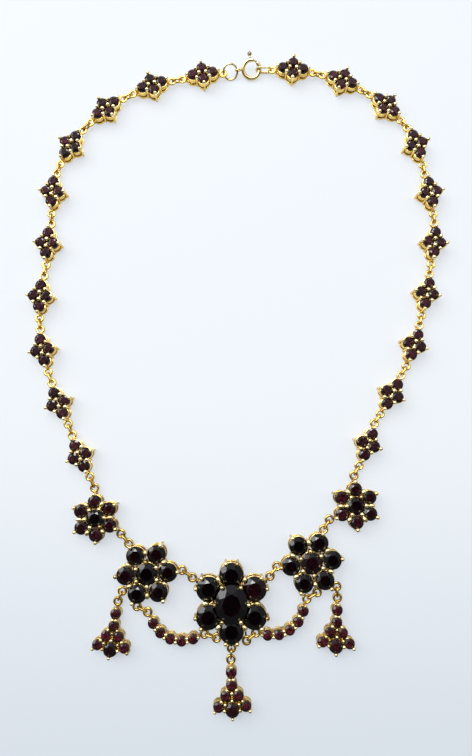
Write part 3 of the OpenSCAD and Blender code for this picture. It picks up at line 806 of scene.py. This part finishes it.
# Centre rosette: six outer stones, a collar on struts and tall claws for the oval stone over them
COLLAR_R = 3.62
COLLAR_W = 0.5
STRUT_R = 0.22
STRUT_OUT = LARGE_CIRCLE * math.cos(math.radians(30))
OVAL_SIDE_CLAW = 4.4
OVAL_END_CLAW = 4.83
LARGE_TIP_SPREAD = 27

large = petals(LARGE_CIRCLE, LARGE_PETAL, TURN["centre"])
large_notches = notch_claws(large, LARGE_NOTCH_STRETCH)
large_claws = large_notches + [
    tip_claw(stone, TURN["centre"] + 60 * k + spread, ROSETTE_TIP)
    for k, stone in enumerate(large) for spread in (-LARGE_TIP_SPREAD, LARGE_TIP_SPREAD)
]
lugs = {k: (LARGE_CIRCLE + LARGE_PETAL / 2 + LUG_REACH) * way(TURN["centre"] + 60 * k) for k in (0, 2, 4)}
centre_rings = [
    Ring(REACH["centre"] * way(FRONT["right"][0]), lugs[0]),
    Ring(REACH["centre"] * way(FRONT["left"][0]), lugs[2]),
    Ring(CENTRE_DROP, lugs[4]),
    Ring(CENTRE_SWAG["left"], large_notches[3].foot),
    Ring(CENTRE_SWAG["right"], large_notches[4].foot),
]
shape = metal_setting(
    "centre_rosette", centre_at, 0, LARGE_GIRDLE, large, large_claws, centre_rings, ROSETTE_RAIL_H)
seat_top = LARGE_GIRDLE - SEAT_DROP
for low, high in ((0.0, FOOT_RAIL_H), (seat_top - ROSETTE_RAIL_H, seat_top)):
    section = band_section(COLLAR_R - COLLAR_W / 2, COLLAR_R + COLLAR_W / 2, low, high, RAIL_ROUND)
    shape.turned(0j, section, 48)
    for a in range(0, 360, 60):
        ends = [spot(r * way(a), (low + high) / 2) for r in (COLLAR_R, STRUT_OUT)]
        shape.tube(ends, [STRUT_R, STRUT_R], 10)
for at in lugs.values():
    disc(shape, at, LUG_R, 0.0, seat_top)
tall = random.Random("tall claws")
for k in range(6):
    reach = OVAL_SIDE_CLAW if k % 3 == 0 else OVAL_END_CLAW
    claw(shape, leaning_claw(reach * way(60 * k), OVAL_CLAW), OVAL_GIRDLE, tall)
piece("centre_rosette", shape, SHADED_TARNISHED_GILT, "rosette_centre")
shape = stones_of("stones_centre", [(centre_at, 0, LARGE_GIRDLE, large)])
piece("stones_centre", shape, GARNET, "garnets_centre", flat=True)
shape = Shape()
cut_stone(shape, centre_at, OVAL_W / 2, OVAL_L / 2, OVAL_GIRDLE, random.Random("oval"))
piece("stone_oval", shape, GARNET, "garnet_oval", flat=True)


# Swags
def on_swag(k):
    """Place of stone k of a swag, counted from its middle, on the arc that it follows."""
    bend = SWAG_PITCH / 2 / math.sin(math.radians(SWAG_TURN / 2))
    a = math.radians(SWAG_TURN * k)
    return bend * complex(math.sin(a), 1 - math.cos(a))


swag_stones = [Stone(on_swag(k), TRIM_STONE / 2) for k in range(-2, 3)]
swag_claws = [
    nook_claw(swag_stones[k], swag_stones[k + 1], turn, TRIM_CLAW) for k in range(4) for turn in (-1, 1)
]
swag_ends = {1: SWAG_END_TURN, -1: 180 - SWAG_END_TURN}
swag_claws += [tip_claw(swag_stones[2 + 2 * end], turn, TRIM_TIP) for end, turn in swag_ends.items()]
swag_rings = {end: on_swag(2 * end) + REACH["swag"] * way(turn) for end, turn in swag_ends.items()}
for side in SIDES:
    at = centre_at + SWAG_FROM_CENTRE[side]
    turn = SWAG_HEADING[side]
    rings = [Ring(swag_rings[1], swag_claws[8].foot), Ring(swag_rings[-1], swag_claws[9].foot)]
    name = f"swag_{side}_metal"
    shape = metal_setting(name, at, turn, TRIM_GIRDLE, swag_stones, swag_claws, rings)
    piece(name, shape, SHADED_TARNISHED_GILT, f"swag_{side}")
    name = f"stones_swag_{side}"
    shape = stones_of(name, [(at, turn, TRIM_GIRDLE, swag_stones)])
    piece(name, shape, GARNET, f"garnets_swag_{side}", flat=True)
    ends = {end: at + ring * way(turn) for end, ring in swag_rings.items()}
    outer, inner = (-1, 1) if side == "left" else (1, -1)
    links.append(("front", ends[outer], medium[side].at + MEDIUM_SWAG[side]))
    links.append(("front", ends[inner], centre_at + CENTRE_SWAG[side]))


# Drops
DROP_ROWS = [  # along, across and width of each stone
    (0, 0, TRIM_STONE), (2.85, 0, TRIM_STONE),
    (5.25, 1.5, TRIM_STONE), (5.25, -1.5, TRIM_STONE),
    (7.65, 3.3, TRIM_STONE), (7.65, -3.3, TRIM_STONE),
    (8.45, 0, DROP_STONE),
]
# Gap from a drop's stones to its four upright claws, and turn of its outermost claws
UPPER_GRAIN, LOWER_GRAIN, SIDE_GRAIN = 0.42, 0.52, 0.5
DROP_TIP_TURN = 45
drop_stones = [Stone(complex(x, y), width / 2) for x, y, width in DROP_ROWS]
d = drop_stones
drop_claws = [nook_claw(d[0], d[1], turn, TRIM_CLAW) for turn in (-1, 1)]
for pairs in (((1, 2), (1, 3)), ((2, 4), (3, 5)), ((4, 6), (5, 6))):
    drop_claws += [nook_claw(d[a], d[b], turn, TRIM_CLAW) for (a, b), turn in zip(pairs, (1, -1))]
drop_claws += [tip_claw(d[4 + k], (1 - 2 * k) * DROP_TIP_TURN, TRIM_TIP) for k in (0, 1)]
drop_claws += [tip_claw(d[6], 0, TRIM_TIP), tip_claw(d[0], 180, TRIM_TIP)]
drop_claws += [
    upright_claw(nook(d[2], d[3], -1, UPPER_GRAIN), TRIM_GRAIN),
    upright_claw(nook(d[2], d[3], 1, LOWER_GRAIN), TRIM_GRAIN),
]
drop_claws += [upright_claw(nook(d[2 + k], d[4 + k], 2 * k - 1, SIDE_GRAIN), TRIM_GRAIN) for k in (0, 1)]
drop_from = {
    "left": medium["left"].at + MEDIUM_DROP["left"],
    "centre": centre_at + CENTRE_DROP,
    "right": medium["right"].at + MEDIUM_DROP["right"],
}
for which, (link_heading, turn) in DROP_HEADINGS.items():
    ring_at = drop_from[which] + DROP_GAP * way(link_heading)
    at = ring_at + REACH["trim"] * way(turn)
    rings = [Ring(-REACH["trim"] + 0j, drop_claws[11].foot)]
    name = f"drop_{which}_metal"
    shape = metal_setting(name, at, turn, TRIM_GIRDLE, drop_stones, drop_claws, rings)
    piece(name, shape, SHADED_TARNISHED_GILT, f"drop_{which}")
    name = f"stones_drop_{which}"
    shape = stones_of(name, [(at, turn, TRIM_GIRDLE, drop_stones)])
    piece(name, shape, GARNET, f"garnets_drop_{which}", flat=True)
    links.append(("front", drop_from[which], ring_at))


# Loose links
def oval_link(shape, a, b, z, pull, half_h, wire, steps=9):
    """Oval wire link on edge between the plan places a and b, its end wires pull inside them."""
    along = unit(b - a)
    start = a + pull * along
    length = abs(b - a) - 2 * pull
    spine = []
    for end, middle in ((1, length - half_h), (-1, half_h)):
        for k in range(steps):
            lift = math.radians(180 * k / (steps - 1) - 90)
            reach = middle + end * half_h * math.cos(lift)
            spine.append(spot(start + reach * along, z + end * half_h * math.sin(lift)))
    shape.tube(spine, [wire] * len(spine), 12, joined=True)


for where in ("left", "right", "front"):
    shape = Shape()
    for side, a, b in links:
        if side == where:
            oval_link(shape, a, b, RING_Z, LINK_PULL, LINK_HALF_H, LINK_WIRE)
    piece(f"links_{where}", shape, SHADED_TARNISHED_GILT, f"loose_links_{where}")


# Clasp. Places along and across its line are counted from the last ring on the left, and the bolt, gap
# and slot lie at headings round the spring ring.
CLASP_R = 2.375
TUBE_R = 0.55
BOLT_R = 0.27
BOLT_PLAY = 0.07
CLASP_LEAN = 25
JUMP_R = 2.0
JUMP_WIRE = 0.29
JUMP_LEAN = 40
JUMP_AT, JUMP_ACROSS, JUMP_Z = 2.15, 0.3, 1.53
EYELET_AT, EYELET_R, EYELET_WIRE = 4.4, 0.85, 0.2
CLASP_AT, CLASP_ACROSS, CLASP_Z = 8.25, 0.6, 1.56
CATCH_FROM, CATCH_ACROSS, CATCH_PULL = CLASP_AT + 1.45, 0.45, 0.33
CATCH_HALF_H, CATCH_Z = 1.02, 1.38
GAP_FROM, GAP_TO = 44, 72
BOLT_FROM, BOLT_TO = 34, 140
STALK_AT, SLOT_TO = 94, 135
STALK_R, SLOT_W = 0.15, 0.4
KNOB_AT, KNOB_R, NECK_R = 3.95, 0.62, 0.34
NECK = [(-0.95, 0.8), (-0.89, 1.0), (-0.75, 1.0), (-0.66, 0.86), (-0.55, 0.86)]  # from the knob, radius
BORE_TO, SOCKET_FROM = 185, 25
CUT_PAST = 5
SLOT_PAST = 0.5
TUBE_ENDS = (0.86, 0.97)
clasp_way = unit(clasp_end - clasp_start)


def on_clasp_line(along, across, z, lean):
    """Matrix from a clasp piece's own frame, ring flat on X and Y, to the necklace's, in millimetres."""
    at = clasp_start + complex(along, across) * clasp_way
    return (
        Matrix.Translation(spot(at, z))
        @ Matrix.Rotation(cmath.phase(clasp_way), 4, "Z")
        @ Matrix.Rotation(math.radians(lean), 4, "X")
    )


def arc(r, start, end, steps):
    """Spine along part of a circle on X and Y."""
    return [Vector((r * math.cos(a), r * math.sin(a), 0)) for a in
            (math.radians(start + (end - start) * k / steps) for k in range(steps + 1))]


def put(shape, matrix):
    """Moves all points of a shape by a matrix in millimetres."""
    shape.points = [tuple(MM * (matrix @ (Vector(p) / MM))) for p in shape.points]
    return shape


# The jump ring's two sawn ends almost meet
SAW_CUT = 1.5
shape = Shape()
shape.tube(arc(JUMP_R, 20, 380 - SAW_CUT, 64), [JUMP_WIRE] * 65, 12)
put(shape, on_clasp_line(JUMP_AT, JUMP_ACROSS, JUMP_Z, JUMP_LEAN))
piece("jump_ring_metal", shape, CLASP, "jump_ring")

shape = Shape()
catch_start = clasp_start + complex(CATCH_FROM, CATCH_ACROSS) * clasp_way
oval_link(shape, catch_start, clasp_end - CATCH_PULL * unit(clasp_end - catch_start),
          CATCH_Z, 0, CATCH_HALF_H, LINK_WIRE, 13)
piece("catch_link_metal", shape, CLASP, "catch_link")

clasp_place = on_clasp_line(CLASP_AT, CLASP_ACROSS, CLASP_Z, CLASP_LEAN)
shape = Shape()
bolt = arc(CLASP_R, BOLT_FROM, BOLT_TO, 40)
shape.tube([bolt[0] - 0.5 * (bolt[1] - bolt[0])] + bolt, [0.75 * BOLT_R] + [BOLT_R] * 41, 12)
outward = Vector((math.cos(math.radians(STALK_AT)), math.sin(math.radians(STALK_AT)), 0))
shape.tube([CLASP_R * outward, KNOB_AT * outward], [STALK_R] * 2, 12)
spine = [(KNOB_AT + t) * outward for t, _ in NECK]
shape.tube(spine, [NECK_R * share for _, share in NECK], 20)
ball = [math.radians(a) for a in range(-78, 79, 12)]
spine = [(KNOB_AT + KNOB_R * math.sin(a)) * outward for a in ball]
shape.tube(spine, [KNOB_R * math.cos(a) for a in ball], 20)
put(shape, clasp_place)
piece("bolt_metal", shape, BOLT, "clasp_bolt", body="bolt")


def mesh_of(shape):
    mesh = bpy.data.meshes.new("tool")
    mesh.from_pydata(shape.points, [], shape.faces)
    return mesh


def solid(name, shape, cutters=(), joined=()):
    """Object of the shape, less the cutters and with the joined shapes soldered on."""
    obj = bpy.data.objects.new(name, mesh_of(shape))
    bpy.context.scene.collection.objects.link(obj)
    for operation, others in (("DIFFERENCE", cutters), ("UNION", joined)):
        for other in others:
            tool = bpy.data.objects.new("tool", mesh_of(other))
            bpy.context.scene.collection.objects.link(tool)
            modifier = obj.modifiers.new("cut", "BOOLEAN")
            modifier.operation = operation
            modifier.object = tool
            modifier.solver = "EXACT"
            cut = obj.evaluated_get(bpy.context.evaluated_depsgraph_get())
            whole = bpy.data.meshes.new_from_object(cut)
            obj.modifiers.clear()
            obj.data = whole
            bpy.data.objects.remove(tool)
    return obj


# The spring ring is cut in its own frame: bore for the bolt, open at the gap, and a slot for its stalk
body = Shape()
spine = arc(CLASP_R, GAP_TO, 360 + GAP_FROM, 90)
shares = [*TUBE_ENDS, *[1.0] * (len(spine) - 2 * len(TUBE_ENDS)), *reversed(TUBE_ENDS)]
body.tube(spine, [TUBE_R * share for share in shares], 24)
bore = Shape()
bore.tube(arc(CLASP_R, GAP_TO - CUT_PAST, BORE_TO, 40), [BOLT_R + BOLT_PLAY] * 41, 16)
socket = Shape()
socket.tube(arc(CLASP_R, SOCKET_FROM, GAP_FROM + CUT_PAST, 10), [BOLT_R + BOLT_PLAY] * 11, 16)
slot_cut = Shape()
slot_out = CLASP_R + TUBE_R + SLOT_PAST
slot_corners = [
    (CLASP_R, -SLOT_W / 2), (slot_out, -SLOT_W / 2), (slot_out, SLOT_W / 2), (CLASP_R, SLOT_W / 2)]
slot_cut.rings([
    [Vector((r * step.x, r * step.y, z)) for r, z in slot_corners]
    for step in arc(1, GAP_TO - CUT_PAST, SLOT_TO, 24)
])
eyelet = Shape()
spine = [
    Vector((EYELET_AT - CLASP_AT + EYELET_R * math.cos(a), 0, EYELET_R * math.sin(a)))
    for a in (math.radians(10 * k) for k in range(36))
]
eyelet.tube(spine, [EYELET_WIRE] * 36, 12, joined=True)
ring = solid("spring_ring_metal", body, [bore, socket, slot_cut], [eyelet])
ring.data.transform(Matrix.Scale(MM, 4) @ clasp_place @ Matrix.Scale(1 / MM, 4))
shape = Shape()
shape.points = [tuple(v.co) for v in ring.data.vertices]
shape.faces = [tuple(p.vertices) for p in ring.data.polygons]
bpy.data.objects.remove(ring)
piece("spring_ring_metal", shape, CLASP, "clasp_ring", sharp=35)


# Floor, light and camera
ROOM_TONE = (0.21, 0.215, 0.23, 1)
Patch = namedtuple("Patch", "tone towards start full")
ROOM_PATCHES = {
    "far side": Patch((0.42, 0.45, 0.48, 1), (0, 0.64, 0.77), 0.84, 0.98),
    "bright far left": Patch((3.9, 4.05, 4.15, 1), (-0.71, 0.41, 0.57), 0.90, 0.98),
    "near side": Patch((0.09, 0.10, 0.10, 1), (0, -1, 0), 0.12, 0.45),
    "overhead": Patch((0.01, 0.01, 0.012, 1), (0, -0.15, 0.99), 0.94, 0.975),
}
CARD_HALF_W = 4.0
CARD_COLOUR = (0.26, 0.27, 0.28, 1)
NEAR_GLOW = (0.43, 0.475, 0.525, 1)
NEAR_GLOW_Y = -0.115
FAR_GLOW = (0.59, 0.62, 0.66, 1)
FAR_GLOW_Y = -0.005
CAMERA_AT = Vector((-0.00146, -0.02417, 0.1378))
CAMERA_AIM = Vector((-0.00078, -0.0054, 0.0029))
CAMERA_ROLL = 2.09
CAMERA_LENS = 24.76


def floor():
    """Pale card. It glows a little, as a card does that more lamps light than this scene has, and less
    towards the near side."""
    mesh = bpy.data.meshes.new("floor")
    w = CARD_HALF_W
    mesh.from_pydata([(-w, -w, 0), (w, -w, 0), (w, w, 0), (-w, w, 0)], [], [(0, 1, 2, 3)])
    made, tree, skin = material("pale card")
    skin.inputs["Base Color"].default_value = CARD_COLOUR
    skin.inputs["Roughness"].default_value = 0.7
    skin.inputs["Specular IOR Level"].default_value = 0.1
    place = add(tree, "TexCoord")
    parts = add(tree, "SeparateXYZ", {0: place.outputs["Object"]})
    share = add(tree, "MapRange", {
        "Value": parts.outputs["Y"], "From Min": NEAR_GLOW_Y, "From Max": FAR_GLOW_Y,
    }, interpolation_type="SMOOTHSTEP")
    glow = mixed(tree, share.outputs["Result"], NEAR_GLOW, FAR_GLOW)
    tree.links.new(glow, skin.inputs["Emission Color"])
    skin.inputs["Emission Strength"].default_value = 1.0
    mesh.materials.append(made)
    obj = bpy.data.objects.new("floor", mesh)
    bpy.context.scene.collection.objects.link(obj)
    return obj


def lamp(name, place, size, power, colour=(1.0, 1.0, 1.0), lights=None, in_gloss=True):
    """Square lamp turned to the middle of the necklace. It lights all, or only the objects in lights.
    in_gloss says if polished faces show it."""
    data = bpy.data.lights.new(name, "AREA")
    data.size = size
    data.energy = power
    data.color = colour
    obj = bpy.data.objects.new(name, data)
    obj.location = place
    obj.rotation_euler = Vector(place).to_track_quat("Z", "Y").to_euler()
    obj.visible_glossy = in_gloss
    bpy.context.scene.collection.objects.link(obj)
    if lights:
        lit = bpy.data.collections.new(f"lit by {name}")
        for other in lights:
            lit.objects.link(other)
        obj.light_linking.receiver_collection = lit


def shade_towards(tree, direction, start, full):
    """Share from 0 to 1 that grows as the look turns to a direction."""
    place = add(tree, "TexCoord")
    along = add(tree, "VectorMath", {0: place.outputs["Generated"], 1: direction}, operation="DOT_PRODUCT")
    share = add(tree, "MapRange", {"Value": along.outputs["Value"], "From Min": start, "From Max": full},
                interpolation_type="SMOOTHSTEP")
    return share.outputs["Result"]


def surroundings():
    """Dim room with a bright patch on the far left, and dark from the near side to overhead."""
    world = bpy.data.worlds.new("room")
    world.use_nodes = True
    tree = world.node_tree
    colour = ROOM_TONE
    for patch in ROOM_PATCHES.values():
        share = shade_towards(tree, patch.towards, patch.start, patch.full)
        colour = mixed(tree, share, colour, patch.tone)
    tree.links.new(colour, tree.nodes["Background"].inputs["Color"])
    bpy.context.scene.world = world


def camera():
    """Hangs close over the front of the necklace and looks down at its middle."""
    data = bpy.data.cameras.new("camera")
    data.sensor_width = 36
    data.lens = CAMERA_LENS
    data.clip_start = 0.005
    obj = bpy.data.objects.new("camera", data)
    turn = (CAMERA_AIM - CAMERA_AT).to_track_quat("-Z", "Y").to_matrix().to_4x4()
    roll = Matrix.Rotation(math.radians(CAMERA_ROLL), 4, "Z")
    obj.matrix_world = Matrix.Translation(CAMERA_AT) @ turn @ roll
    bpy.context.scene.collection.objects.link(obj)
    bpy.context.scene.camera = obj


card = floor()
pieces = [obj for obj in bpy.context.scene.objects if obj.type == "MESH" and obj.data.materials]
metal = [obj for obj in pieces if obj.data.materials[0] in (GILT, SHADED_TARNISHED_GILT, CLASP, BOLT)]
stones = [obj for obj in pieces if obj.data.materials[0] == GARNET]
chain_stones = [obj for obj in stones if "chain" in obj.name]
DAYLIGHT = (1.0, 0.99, 0.97)
WARM_LIGHT = (1.0, 0.98, 0.95)
lamp("daylight", (-0.14, 0.27, 0.40), size=0.50, power=2.0, colour=DAYLIGHT, lights=metal + [card])
lamp("fill", (0.60, 0.25, 0.60), size=0.7, power=1.6, colour=WARM_LIGHT, lights=metal + [card])
lamp("daylight in the stones", (-0.20, 0.48, 0.46), size=1.0, power=7.6, colour=(1.0, 0.97, 0.95),
     lights=stones, in_gloss=False)
lamp("window", (-0.08, 0.245, 0.63), size=0.12, power=0.45)
lamp("far window", (0.0, 0.50, 0.36), size=0.16, power=0.95, lights=chain_stones)
lamp("light from above", (0.0, 0.17, 0.30), size=0.22, power=0.75, colour=DAYLIGHT, lights=metal)
surroundings()
camera()
bpy.context.scene.view_settings.view_transform = "Standard"
bpy.context.scene.cycles.use_denoising = True
